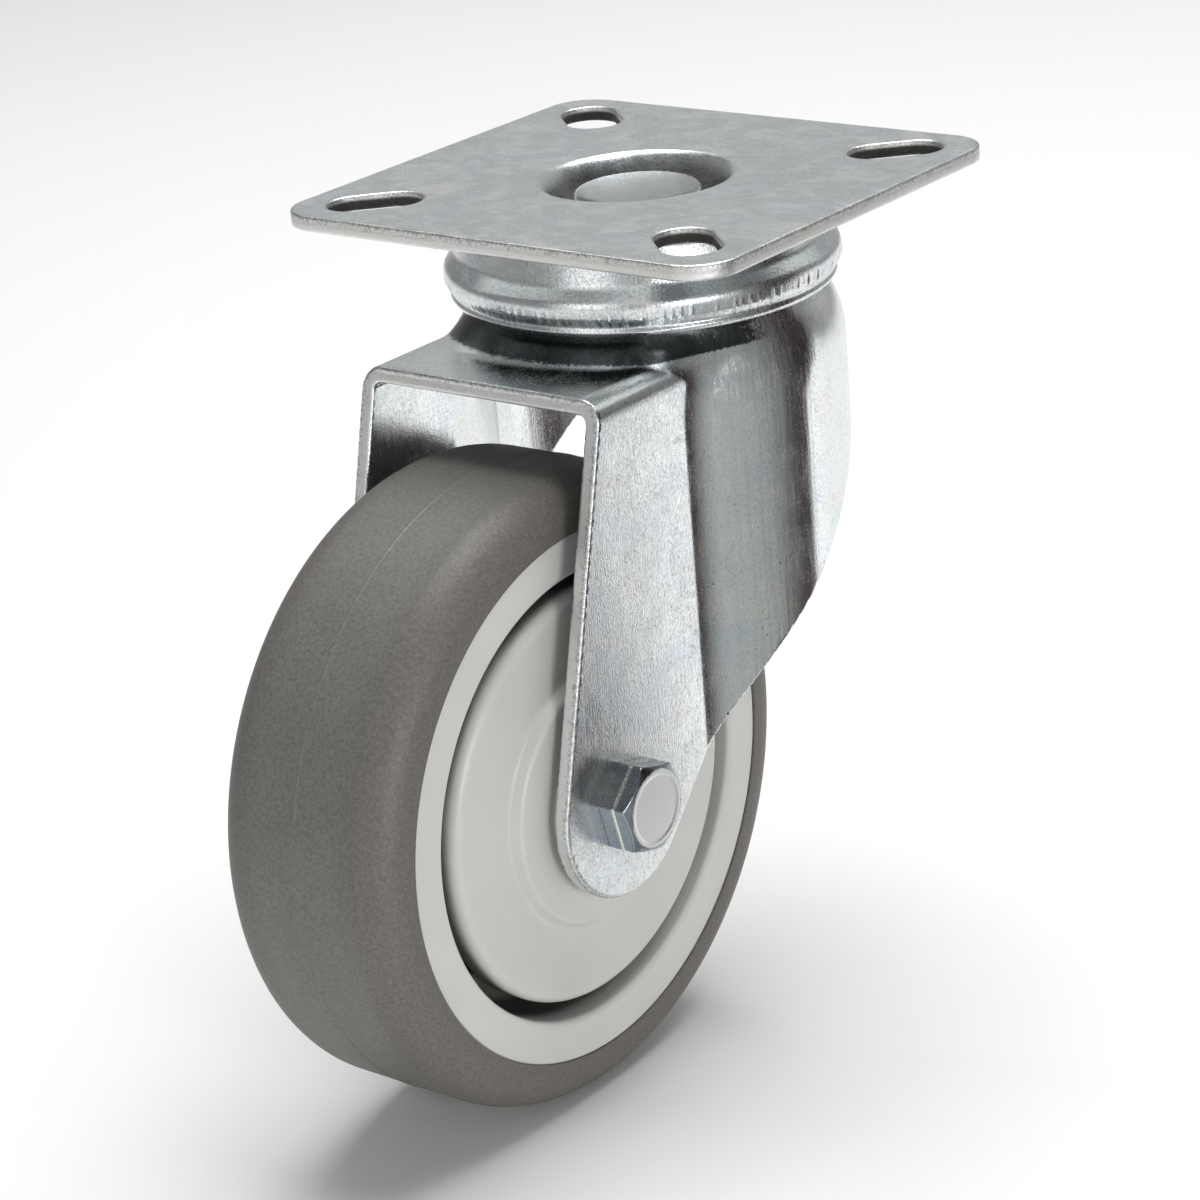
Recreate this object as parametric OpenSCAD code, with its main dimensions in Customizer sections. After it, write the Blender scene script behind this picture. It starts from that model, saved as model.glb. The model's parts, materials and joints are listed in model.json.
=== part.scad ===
// Swivel plate caster: pressed steel fork, ball-race swivel and a grey
// thermoplastic-rubber wheel on two ball bearings.
// Origin: centre of the plate's mounting face, on the swivel axis. +Z is up,
// +X runs along the axle towards the bolt head, and the wheel trails towards -Y.

/* [Top plate] */
// Length of the plate along X
plate_x = 82.5; // [70:0.5:110]
// Width of the plate along Y
plate_y = 77; // [68:0.5:100]
// Thickness of the plate
plate_t = 2.5; // [2:0.25:4]
// Radius of the plate's corners
plate_corner_r = 7; // [3:0.5:12]
// Distance between slot centres along X
slot_pitch_x = 59.4; // [52:0.2:85]
// Distance between slot centres along Y
slot_pitch_y = 55; // [48:0.2:75]
// Width of each bolt slot
slot_w = 9; // [6:0.5:11]
// End-to-end length of each bolt slot
slot_len = 15; // [10:0.5:18]

/* [Kingpin] */
// Diameter of the kingpin's head
pin_head_d = 20.5; // [16:0.5:24]
// Height of the kingpin's head
pin_head_h = 4; // [2.5:0.25:6]
// Depth of the head's top below the mounting face
pin_head_drop = 1.8; // [0.5:0.1:3]
// Diameter of the kingpin's shank
pin_d = 12; // [8:0.5:14]

/* [Swivel races] */
// Diameter of the upper balls
top_ball_d = 6; // [4:0.5:7]
// Radius of the upper ball circle
top_ball_ring_r = 22.3; // [21.5:0.1:23]
// Number of upper balls
top_ball_count = 22; // [8:1:22]
// Diameter of the lower balls
low_ball_d = 5; // [4:0.5:6]
// Radius of the lower ball circle
low_ball_ring_r = 12; // [11.5:0.1:13]
// Number of lower balls
low_ball_count = 14; // [6:1:14]
// Thickness of the lower race washer
race_washer_t = 2.7; // [2:0.1:4]

/* [Swivel cap] */
// Greatest outer radius of the cap
cap_r = 31; // [30:0.5:34]
// Sheet thickness of the cap
cap_t = 1.5; // [1:0.1:2]
// Height of the cap's lower edge below the mounting face
cap_depth = 16.8; // [15:0.2:18]

/* [Fork] */
// Sheet thickness of the fork
fork_t = 2.5; // [2:0.25:3]
// Clear distance between the two legs
fork_gap = 40.4; // [38:0.2:50]
// Height of the fork's flat shelf below the mounting face
shelf_drop = 21; // [20.5:0.25:26]
// Distance of the shelf's front edge from the swivel axis
shelf_front = 42; // [34:0.5:46]
// Outer radius of the bend between shelf and leg
bend_r = 3.8; // [3:0.1:6]
// Outer radius of the fork's skirt around the swivel axis
skirt_r = 31; // [30:0.5:34]
// Angle behind the X axis at which the flat flare meets the round skirt
flare_angle = 12; // [8:1:16]
// Radius of the round end of each leg
leg_end_r = 14.9; // [11:0.1:18]
// Slope of the leg's rear edge from level
rear_slope = 46.9; // [42:0.1:52]

/* [Wheel] */
// Outer diameter of the wheel
wheel_d = 100; // [84:1:110]
// Width of the wheel across its sidewalls
wheel_w = 33; // [28:0.5:36]
// Horizontal distance from the swivel axis to the axle
trail = 42.8; // [36:0.2:48]
// Height of the axle below the mounting face
axle_drop = 84; // [80:0.5:92]
// Thickness of the tread
tread_t = 8; // [5:0.5:10]
// Radius of the tread's shoulders
shoulder_r = 6.6; // [3:0.1:8]
// Radial thickness of the core's rim
rim_t = 6.5; // [4:0.25:8]
// Number of ribs on each side of the core's web
rib_count = 8; // [4:1:12]

/* [Thread guards] */
// Radial gap between guard and rim
guard_gap = 2.8; // [1.5:0.1:4]
// Wall of each guard
guard_t = 1.8; // [1.2:0.1:2.5]
// Radius of the guard's raised centre
guard_boss_r = 19.7; // [16:0.1:22]

/* [Axle] */
// Diameter of the axle bolt
bolt_d = 8; // [6:1:9]
// Width of the bolt head and nut across their flats
hex_af = 13; // [11:0.5:16]
// Height of the bolt head
bolt_head_h = 5.3; // [4:0.1:7]
// Angle of the bolt head's hexagon about the axle
head_turn = 15; // [0:1:59]
// Height of the lock nut
nut_h = 8; // [6:0.5:10]
// Wall of the axle sleeve
sleeve_wall = 1.9; // [1:0.1:2.5]

/* [Wheel bearings] */
// Outer diameter of each bearing
bearing_od = 28; // [26:0.5:30]
// Width of each bearing
bearing_w = 8; // [7:0.5:9]
// Distance from the wheel's centre to the inner side of each bearing
bearing_in = 6; // [4:0.5:8]
// Diameter of the bearing balls
bearing_ball_d = 4.76; // [4:0.01:5]
// Number of balls in each bearing
bearing_ball_count = 8; // [6:1:9]

/* [Fits] */
// Running clearance between a ball and its races, at the radius
ball_play = 0.05; // [0.03:0.01:0.1]
// Clearance around the bolt, at the radius
bolt_play = 0.1; // [0.05:0.05:0.3]
// Gap between the cap's lip and the fork's neck
lip_gap = 0.6; // [0.4:0.1:1]

/* [Hidden] */
$fn = 96;

steel = [0.78, 0.80, 0.81];
race_steel = [0.62, 0.64, 0.66];
core_grey = [0.80, 0.80, 0.79];
tread_grey = [0.36, 0.36, 0.34];
over = 1;                                             // how far a cutter passes a face

// Swivel stack, from the plate down
dimple_floor = pin_head_drop + pin_head_h;            // depth of the dimple's floor
dimple_r = pin_head_d / 2 + 4.1;                      // where the dimple meets the face
dimple_floor_r = pin_head_d / 2 + 0.9;
slot_angle = atan2(slot_pitch_y, slot_pitch_x);
top_ball_z = -plate_t - cap_t - top_ball_d / 2 - ball_play;
top_groove_r = top_ball_d / 2 + ball_play;
crown_z = top_ball_z - 0.85 * top_ball_d / 2;         // top of the fork's crown
low_ball_z = crown_z - fork_t - low_ball_d / 2 - ball_play;
low_groove_r = low_ball_d / 2 + ball_play;
race_washer_z = low_ball_z - 0.82 * low_ball_d / 2;   // top of the lower race washer
race_washer_r = low_ball_ring_r + low_ball_d / 2 + 2;
rivet_h = 2.6;
rivet_r = pin_d / 2 + 3;
rivet_edge = 1.2;
pin_edge_r = 1.2;
crown_hole_r = low_ball_ring_r - low_ball_d / 2 - 1.2;

// Cap profile
cap_hole_r = dimple_r + plate_t + 0.5;
cap_top_r = top_ball_ring_r + top_ball_d / 2 + cap_t - 1.5;
cap_waist_r = cap_top_r + 2.2;
neck_wall = 2.25;                                     // steel outside the upper ball groove
neck_r = top_ball_ring_r + top_groove_r + neck_wall;  // neck where it leaves the cap
cap_lip_r = neck_r + lip_gap + cap_t;
cap_top_z = -plate_t;
cap_shoulder_z = crown_z - 0.8;                       // keeps the cap's slope off the crown's edge

// Fork
leg_out = fork_gap / 2 + fork_t;
shoulder_arc_r = 16;                                  // the skirt's rounded shoulder
shoulder_turn = acos((neck_r - skirt_r + shoulder_arc_r) / shoulder_arc_r);
shoulder_z = -cap_depth - 0.3 - shoulder_arc_r * sin(shoulder_turn);
crown_edge_r = 2.8;
flare_set = 0.1;                                      // how far the flare stands inside its chord
tangent_set = 0.05;                                   // how far the legs' edges stand inside the round end
leg_centre = [-trail, -axle_drop];
leg_foot = -axle_drop - leg_end_r;

// Wheel
wheel_r = wheel_d / 2;
rim_r = wheel_r - tread_t;
rim_in_r = rim_r - rim_t;
side_x = wheel_w / 2;
rim_x = side_x - 0.35;
web_t = 5;
rib_t = 2.5;
rib_x = 9;
hub_wall = 4;
bearing_r = bearing_od / 2;
hub_r = bearing_r + hub_wall;
hub_stop = 1.4;                                       // step that each outer race rests on
bearing_out = bearing_in + bearing_w;
bearing_mid = bearing_in + bearing_w / 2;
sleeve_r = bolt_d / 2 + bolt_play + sleeve_wall;
ball_pitch_r = (bearing_r + sleeve_r) / 2;
race_gap = 3.2;                                       // between the two races, at the radius
inner_race_r = ball_pitch_r - race_gap / 2;
outer_race_r = ball_pitch_r + race_gap / 2;
race_groove_r = bearing_ball_d / 2 + ball_play;
shield_t = 0.4;
cage_wall = 1;
cage_w = bearing_w - 2 * (shield_t + 0.7);
spacer_r = inner_race_r - 0.4;

// Thread guards
guard_r = rim_in_r - guard_gap;
guard_face_x = side_x - 0.3;
guard_boss_x = guard_face_x + 1.9;
guard_hub_r = 11;
guard_edge_r = 2.2;
guard_rim_x = guard_face_x - 5;
guard_seat_r = inner_race_r;                          // lip that presses on the inner race

bolt_end = leg_out + nut_h + 1.8;
nut_ring_h = 2.2;

// Points along an arc, as [across, up]
function arc(centre, r, from, to, steps) =
    [for (i = [0:steps]) let (a = from + (to - from) * i / steps)
        [centre[0] + r * cos(a), centre[1] + r * sin(a)]];

// Turns a profile drawn as [distance from axle, distance along X] about the axle
module about_axle() {
    translate([0, -trail, -axle_drop]) rotate([0, 90, 0]) rotate_extrude() children();
}

module ring(r_in, r_out, low, high) {
    translate([r_in, low]) square([r_out - r_in, high - low]);
}

// One slot through the plate, pointing at the plate's centre
module slot_cut() {
    half = (slot_len - slot_w) / 2;
    for (s = [-1, 1]) translate([s * half, 0]) circle(d = slot_w);
    translate([-half, -slot_w / 2]) square([2 * half, slot_w]);
}

module top_plate() {
    cx = plate_x / 2 - plate_corner_r;
    cy = plate_y / 2 - plate_corner_r;
    color(steel) difference() {
        union() {
            translate([0, 0, -plate_t]) linear_extrude(plate_t) difference() {
                union() {
                    for (x = [-cx, cx], y = [-cy, cy]) translate([x, y]) circle(r = plate_corner_r);
                    translate([-cx, -plate_y / 2]) square([2 * cx, plate_y]);
                    translate([-plate_x / 2, -cy]) square([plate_x, 2 * cy]);
                }
                for (x = [-1, 1], y = [-1, 1])
                    translate([x * slot_pitch_x / 2, y * slot_pitch_y / 2])
                        rotate(x * y * slot_angle) slot_cut();
            }
            rotate_extrude() polygon([[0, -plate_t], [dimple_r + plate_t * 0.7, -plate_t],
                [dimple_r + plate_t * 0.4, -plate_t - 0.6], [dimple_floor_r + plate_t, -dimple_floor - 0.4],
                [dimple_floor_r + plate_t * 0.6, -dimple_floor - plate_t], [0, -dimple_floor - plate_t]]);
        }
        rotate_extrude() polygon([[0, over], [dimple_r, over], [dimple_r, 0], [dimple_r - 1.2, -0.6],
            [dimple_floor_r + 0.4, -dimple_floor + 0.9], [dimple_floor_r, -dimple_floor],
            [0, -dimple_floor]]);
        translate([0, 0, -dimple_floor - plate_t - over])
            cylinder(h = plate_t + 2 * over, d = pin_d);
    }
}

module kingpin() {
    r = pin_head_d / 2;
    rivet_top = race_washer_z - race_washer_t;
    color(steel) rotate_extrude() polygon(concat(
        [[0, -pin_head_drop]],
        arc([r - pin_edge_r, -pin_head_drop - pin_edge_r], pin_edge_r, 90, 0, 6),
        [[r, -dimple_floor], [pin_d / 2, -dimple_floor], [pin_d / 2, rivet_top],
         [rivet_r, rivet_top], [rivet_r, rivet_top - rivet_h + rivet_edge],
         [rivet_r - rivet_edge, rivet_top - rivet_h], [0, rivet_top - rivet_h]]));
}

module swivel_cap() {
    inner_r = cap_r - cap_t;
    lip_in = cap_lip_r - cap_t;
    color(steel) rotate_extrude() polygon([
        [cap_hole_r, cap_top_z], [cap_top_r, cap_top_z], [cap_top_r + 1.2, cap_top_z - 1.4],
        [cap_waist_r, cap_shoulder_z + 2.2], [cap_r - 0.5, cap_shoulder_z],
        [cap_r, cap_shoulder_z - 0.9], [cap_r, -cap_depth + 3.3], [cap_r - 0.5, -cap_depth + 1.8],
        [cap_lip_r, -cap_depth], [lip_in, -cap_depth], [inner_r - 0.5, -cap_depth + 1.9],
        [inner_r, -cap_depth + 3.3], [inner_r, cap_shoulder_z - 1.3],
        [cap_waist_r - cap_t + 0.3, cap_shoulder_z + 1.2],
        [cap_top_r + 1.2 - cap_t, cap_top_z - 2.2], [cap_top_r - 0.6, cap_top_z - cap_t],
        [cap_hole_r, cap_top_z - cap_t]]);
}

module lower_race_washer() {
    color(race_steel) difference() {
        translate([0, 0, race_washer_z - race_washer_t]) cylinder(h = race_washer_t, r = race_washer_r);
        translate([0, 0, race_washer_z - race_washer_t - over])
            cylinder(h = race_washer_t + 2 * over, d = pin_d);
        translate([0, 0, low_ball_z]) rotate_extrude()
            translate([low_ball_ring_r, 0]) circle(r = low_groove_r);
    }
}

module ball_ring(count, ring_r, d) {
    for (i = [0:count - 1]) rotate(i * 360 / count) translate([ring_r, 0, 0]) sphere(d = d, $fn = 32);
}

module upper_balls() {
    color(race_steel) translate([0, 0, top_ball_z]) ball_ring(top_ball_count, top_ball_ring_r, top_ball_d);
}

module lower_balls() {
    color(race_steel) translate([0, 0, low_ball_z]) ball_ring(low_ball_count, low_ball_ring_r, low_ball_d);
}

// Neck, shoulder and round skirt as one turned body, set in from the outer face by inset
module fork_round(inset) {
    edge = max(crown_edge_r - inset, 0.3);
    neck = neck_r - inset;
    rotate_extrude() polygon(concat(
        [[0, leg_foot - over], [0, crown_z - inset]],
        arc([neck - edge, crown_z - inset - edge], edge, 90, 0, 4),
        arc([skirt_r - shoulder_arc_r, shoulder_z], shoulder_arc_r - inset, shoulder_turn, 0, 8),
        [[skirt_r - inset, leg_foot - over]]));
}

// Outside of the flat flares that join the legs to the skirt
module flare_cut(inset) {
    r = skirt_r - inset;
    x = leg_out - inset;
    crease_y = -sqrt(pow(r, 2) - pow(x, 2));
    turn = atan2(r * cos(flare_angle) - x, -r * sin(flare_angle) - crease_y);
    for (s = [0, 1]) mirror([s, 0, 0])
        translate([x - flare_set, crease_y, leg_foot - 2 * over]) rotate(-turn)
            translate([0, -skirt_r, 0]) cube([skirt_r, 3 * skirt_r, axle_drop + leg_end_r]);
}

// Flat shelf with its two rounded bends, open at the front
module fork_box(inset) {
    half = leg_out - inset;
    top = -shelf_drop - inset;
    r = bend_r - inset;
    rotate([90, 0, 0]) linear_extrude(trail + leg_end_r + over) union() {
        translate([-half, leg_foot - over]) square([2 * half, top - r - leg_foot + over]);
        translate([-half + r, top - 2 * r]) square([2 * (half - r), 2 * r]);
        for (s = [-1, 1]) translate([s * (half - r), top - r]) circle(r = r);
    }
}

module fork_body(inset) {
    fork_box(inset);
    difference() {
        fork_round(inset);
        flare_cut(inset);
    }
}

// Outline of the legs seen along the axle, as [Y, Z]
module leg_outline() {
    r = leg_end_r - tangent_set;
    start = [-shelf_front, -shelf_drop - 1];
    to_centre = leg_centre - start;
    reach = norm(to_centre);
    lean = atan2(to_centre[1], to_centre[0]) - asin(r / reach);
    front_tangent = start + sqrt(pow(reach, 2) - pow(r, 2)) * [cos(lean), sin(lean)];
    rear_tangent = leg_centre + r * [sin(rear_slope), -cos(rear_slope)];
    back = skirt_r + over;
    union() {
        polygon([[-shelf_front, over], start, front_tangent, leg_centre, rear_tangent,
            [back, rear_tangent[1] + (back - rear_tangent[0]) * tan(rear_slope)], [back, over]]);
        translate(leg_centre) circle(r = leg_end_r);
    }
}

module fork() {
    wide = 2 * (skirt_r + over);
    color(steel) difference() {
        intersection() {
            fork_body(0);
            rotate([90, 0, 90]) translate([0, 0, -wide / 2]) linear_extrude(wide) leg_outline();
        }
        fork_body(fork_t);
        cylinder(h = 4 * axle_drop, r = crown_hole_r, center = true);
        translate([0, 0, top_ball_z]) rotate_extrude()
            translate([top_ball_ring_r, 0]) circle(r = top_groove_r);
        translate([-wide / 2, -trail, -axle_drop]) rotate([0, 90, 0])
            cylinder(h = wide, r = bolt_d / 2 + bolt_play);
    }
}

// Hexagon across flats, along +X from x, with its corners chamfered at the outer end
module hexagon(x, h, turn, dir) {
    chamfer_r = hex_af / 2 * 0.95;
    corner_r = hex_af / sqrt(3);
    drop = (corner_r - chamfer_r) * 0.55;
    intersection() {
        translate([x, -trail, -axle_drop]) rotate([turn, 0, 0]) rotate([0, dir * 90, 0])
            cylinder(h = h, r = corner_r, $fn = 6);
        translate([x, -trail, -axle_drop]) rotate([0, dir * 90, 0]) rotate_extrude()
            polygon([[0, 0], [corner_r + over, 0], [corner_r + over, h - drop * 2.2],
                [chamfer_r, h], [0, h]]);
    }
}

module axle_bolt() {
    color(steel) {
        hexagon(leg_out, bolt_head_h, head_turn, 1);
        translate([-bolt_end, -trail, -axle_drop]) rotate([0, 90, 0])
            cylinder(h = bolt_end + leg_out, d = bolt_d);
    }
}

module axle_lock_nut() {
    color(steel) difference() {
        hexagon(-leg_out, nut_h, 0, -1);
        about_axle() ring(0, bolt_d / 2, -bolt_end - over, 0);
        about_axle() ring(0, bolt_d / 2 + 1, -leg_out - nut_h + 0.6, -leg_out - nut_h + 0.6 + nut_ring_h);
    }
}

module lock_nut_ring() {
    color([0.85, 0.86, 0.88]) about_axle()
        ring(bolt_d / 2, bolt_d / 2 + 1, -leg_out - nut_h + 0.6, -leg_out - nut_h + 0.6 + nut_ring_h);
}

module axle_sleeve() {
    color(race_steel) about_axle() ring(bolt_d / 2 + bolt_play, sleeve_r, -fork_gap / 2, fork_gap / 2);
}

module bearing_spacer() {
    color(race_steel) about_axle() ring(sleeve_r, spacer_r, -bearing_in, bearing_in);
}

// Dished guard with a turned-in rim, a raised centre and a hub that meets the leg
module thread_guard(side) {
    x = fork_gap / 2;
    inner = guard_face_x - guard_t;
    color(core_grey) mirror([side < 0 ? 1 : 0, 0, 0]) about_axle() polygon(concat(
        [[sleeve_r, bearing_out], [guard_seat_r, bearing_out], [guard_seat_r + 0.6, bearing_out + 0.6],
         [guard_boss_r - 2, inner + 0.3], [guard_boss_r, inner], [guard_r - guard_t - 0.8, inner],
         [guard_r - guard_t, inner - 0.8], [guard_r - guard_t, guard_rim_x], [guard_r, guard_rim_x]],
        arc([guard_r - guard_edge_r, guard_face_x - guard_edge_r], guard_edge_r, 0, 90, 6),
        [[guard_boss_r + 1.9, guard_face_x], [guard_boss_r, guard_boss_x],
         [guard_hub_r + 0.8, guard_boss_x], [guard_hub_r, x], [sleeve_r, x]]));
}

module thread_guard_left() { thread_guard(-1); }

module thread_guard_right() { thread_guard(1); }

module tread() {
    lip = rim_r + 1.2;
    r = shoulder_r;
    color(tread_grey) about_axle() polygon(concat(
        [[rim_r, -rim_x], [lip, -side_x]], arc([wheel_r - r, -side_x + r], r, -90, 0, 8),
        arc([wheel_r - r, side_x - r], r, 0, 90, 8), [[lip, side_x], [rim_r, rim_x]]));
}

// Rim, web, ribs and bearing hub moulded as one piece
module wheel_core() {
    color(core_grey) {
        about_axle() {
            ring(rim_in_r, rim_r, -rim_x, rim_x);
            ring(bearing_r, hub_r, -bearing_out, bearing_out);
            ring(bearing_r - hub_stop, hub_r, -bearing_in, bearing_in);
            ring(hub_r - over, rim_in_r + over, -web_t / 2, web_t / 2);
        }
        translate([0, -trail, -axle_drop]) for (i = [0:rib_count - 1])
            rotate([i * 360 / rib_count, 0, 0])
                translate([-rib_x, hub_r - over, -rib_t / 2])
                    cube([2 * rib_x, rim_in_r - hub_r + 2 * over, rib_t]);
    }
}

module groove(x) {
    translate([ball_pitch_r, x]) circle(r = race_groove_r, $fn = 48);
}

module outer_race(side) {
    color(race_steel) mirror([side < 0 ? 1 : 0, 0, 0]) about_axle() difference() {
        ring(outer_race_r, bearing_r, bearing_in, bearing_out);
        groove(bearing_mid);
    }
}

module inner_race(side) {
    color(race_steel) mirror([side < 0 ? 1 : 0, 0, 0]) about_axle() difference() {
        ring(sleeve_r, inner_race_r, bearing_in, bearing_out);
        groove(bearing_mid);
    }
}

module bearing_ball_ring(side, d) {
    translate([side * bearing_mid, -trail, -axle_drop]) rotate([0, 90, 0])
        ball_ring(bearing_ball_count, ball_pitch_r, d);
}

// Ring between the races with a drilled pocket for each ball
module ball_cage(side) {
    mid = side * bearing_mid;
    color([0.70, 0.62, 0.42]) difference() {
        about_axle() ring(ball_pitch_r - cage_wall / 2, ball_pitch_r + cage_wall / 2,
            mid - cage_w / 2, mid + cage_w / 2);
        translate([mid, -trail, -axle_drop]) rotate([0, 90, 0]) for (i = [0:bearing_ball_count - 1])
            rotate(i * 360 / bearing_ball_count) translate([inner_race_r, 0, 0]) rotate([0, 90, 0])
                cylinder(h = race_gap, r = race_groove_r);
    }
}

// Thin ring shields pressed into both faces of the outer race
module bearing_shields(side) {
    color(steel) mirror([side < 0 ? 1 : 0, 0, 0]) about_axle() {
        for (x = [bearing_in + 0.2, bearing_out - 0.2 - shield_t])
            ring(inner_race_r + 0.3, outer_race_r, x, x + shield_t);
    }
}

module outer_race_left() { outer_race(-1); }

module outer_race_right() { outer_race(1); }

module inner_race_left() { inner_race(-1); }

module inner_race_right() { inner_race(1); }

module bearing_balls_left() { color(race_steel) bearing_ball_ring(-1, bearing_ball_d); }

module bearing_balls_right() { color(race_steel) bearing_ball_ring(1, bearing_ball_d); }

module ball_cage_left() { ball_cage(-1); }

module ball_cage_right() { ball_cage(1); }

module bearing_shields_left() { bearing_shields(-1); }

module bearing_shields_right() { bearing_shields(1); }

top_plate();
kingpin();
swivel_cap();
lower_race_washer();
upper_balls();
lower_balls();
fork();
axle_bolt();
axle_lock_nut();
lock_nut_ring();
axle_sleeve();
bearing_spacer();
thread_guard_left();
thread_guard_right();
tread();
wheel_core();
outer_race_left();
outer_race_right();
inner_race_left();
inner_race_right();
bearing_balls_left();
bearing_balls_right();
ball_cage_left();
ball_cage_right();
bearing_shields_left();
bearing_shields_right();
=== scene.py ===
import json
import math

import bpy
import numpy as np
from mathutils import Matrix, Vector


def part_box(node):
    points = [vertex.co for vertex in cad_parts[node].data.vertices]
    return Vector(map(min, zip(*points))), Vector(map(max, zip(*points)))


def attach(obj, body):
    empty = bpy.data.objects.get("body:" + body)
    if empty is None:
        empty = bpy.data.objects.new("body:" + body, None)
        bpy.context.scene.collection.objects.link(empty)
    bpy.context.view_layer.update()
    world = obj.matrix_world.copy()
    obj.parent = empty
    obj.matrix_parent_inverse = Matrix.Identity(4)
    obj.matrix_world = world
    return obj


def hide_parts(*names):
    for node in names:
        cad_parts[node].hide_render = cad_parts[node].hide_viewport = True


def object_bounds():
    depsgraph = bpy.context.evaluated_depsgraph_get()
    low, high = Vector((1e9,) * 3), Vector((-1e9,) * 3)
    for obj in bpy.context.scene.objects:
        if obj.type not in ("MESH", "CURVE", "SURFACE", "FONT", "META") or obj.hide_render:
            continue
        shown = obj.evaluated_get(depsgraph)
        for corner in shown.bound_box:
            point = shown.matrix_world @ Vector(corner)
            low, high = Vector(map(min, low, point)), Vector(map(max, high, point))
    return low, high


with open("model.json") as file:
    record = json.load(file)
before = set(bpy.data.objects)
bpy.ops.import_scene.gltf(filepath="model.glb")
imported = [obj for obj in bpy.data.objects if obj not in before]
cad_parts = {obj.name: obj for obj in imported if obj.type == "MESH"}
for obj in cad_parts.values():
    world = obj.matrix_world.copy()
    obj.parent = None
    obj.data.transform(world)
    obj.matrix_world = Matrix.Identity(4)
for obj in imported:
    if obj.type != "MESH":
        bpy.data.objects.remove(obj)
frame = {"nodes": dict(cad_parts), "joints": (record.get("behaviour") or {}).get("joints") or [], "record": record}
cadLow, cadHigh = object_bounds()

mm = 0.001                     # the shapes below are worked out in millimetres
joints = {j["name"]: j for j in frame["joints"]}
mounts = {m["name"]: m for m in frame["record"]["mounts"]}
axleY, axleZ = [v / mm for v in joints["wheel_spin"]["pos_m"][1:]]


def edges(node):
    # lowest and highest corner of a CAD node, in millimetres
    low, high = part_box(node)
    return low / mm, high / mm


print("frame loaded:", len(frame["nodes"]), "nodes")


def roundMax(a, b, r):
    # where two solids meet, with the outer edge rounded to r
    return np.minimum(np.maximum(a, b), -r) + np.hypot(np.maximum(a + r, 0), np.maximum(b + r, 0))


def roundMin(a, b, r):
    # two solids joined, with a fillet of about r in the corner
    return np.maximum(np.minimum(a, b), r) - np.hypot(np.maximum(r - a, 0), np.maximum(r - b, 0))


def softStep(x, low, high):
    # 0 up to low, 1 from high on, and a smooth rise between them
    t = np.clip((x - low) / (high - low), 0, 1)
    return t * t * (3 - 2 * t)


def slopeOf(field, p, h=0.01):
    # the gradient of a field at the points p
    g = np.empty_like(p)
    for i in range(3):
        d = np.zeros(3)
        d[i] = h
        g[:, i] = (field(*(p + d).T) - field(*(p - d).T)) / (2 * h)
    return g


def placed(name, data):
    # a new object in the scene
    obj = bpy.data.objects.new(name, data)
    bpy.context.scene.collection.objects.link(obj)
    return obj


def makeMesh(name, points, faces, normals=None, extras=None):
    mesh = bpy.data.meshes.new(name)
    mesh.from_pydata((points * mm).tolist(), [], faces)
    mesh.polygons.foreach_set("use_smooth", [True] * len(mesh.polygons))
    for key, values in (extras or {}).items():
        layer = mesh.attributes.new(key, "FLOAT", "POINT")
        layer.data.foreach_set("value", values.astype(np.float32))
    mesh.validate()
    if normals is not None:
        mesh.normals_split_custom_set_from_vertices(normals.tolist())
    return placed(name, mesh)


def skinField(name, field, low, high, cell, extras=None):
    # Covers the solid where field < 0 with quads: one vertex for each cell that the
    # surface crosses, slid along the slope of the field until it lies on the surface.
    axes = [np.arange(low[i], high[i] + cell, cell) for i in range(3)]
    inside = field(*np.meshgrid(*axes, indexing="ij", sparse=True)) < 0
    n = [len(a) - 1 for a in axes]
    corners = sum(inside[i:n[0] + i, j:n[1] + j, k:n[2] + k].astype(np.uint8)
                  for i in (0, 1) for j in (0, 1) for k in (0, 1))
    crossed = (corners > 0) & (corners < 8)
    index = np.full(n, -1)
    index[crossed] = np.arange(crossed.sum())
    middle = (np.argwhere(crossed) + 0.5) * cell + np.array([a[0] for a in axes])
    reach = 0.55 * cell        # how far a vertex may slide from the middle of its cell
    slides, flattest = 8, 0.05
    p = middle.copy()
    for _ in range(slides):
        g = slopeOf(field, p)
        steep = np.maximum((g * g).sum(1), flattest)
        p -= (field(*p.T) / steep)[:, None] * g
        p = np.clip(p, middle - reach, middle + reach)
    faces = []
    for a in range(3):
        b, c = (a + 1) % 3, (a + 2) % 3
        first = [slice(None)] * 3
        second = [slice(None)] * 3
        first[a], second[a] = slice(0, -1), slice(1, None)
        for s in (first, second):
            s[b] = s[c] = slice(1, -1)
        solidBefore = inside[tuple(first)]
        at = np.argwhere(solidBefore != inside[tuple(second)])
        facesOut = solidBefore[tuple(at.T)]
        at[:, b] += 1
        at[:, c] += 1
        loop = []
        for db, dc in ((1, 1), (0, 1), (0, 0), (1, 0)):
            cellAt = at.copy()
            cellAt[:, b] -= db
            cellAt[:, c] -= dc
            loop.append(index[tuple(cellAt.T)])
        quads = np.stack(loop, 1)
        faces += quads[facesOut].tolist() + quads[~facesOut][:, ::-1].tolist()
    g = slopeOf(field, p)
    g /= np.maximum(np.linalg.norm(g, axis=1), 1e-6)[:, None]
    return makeMesh(name, p, faces, g, extras(*p.T) if extras else None)


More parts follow.
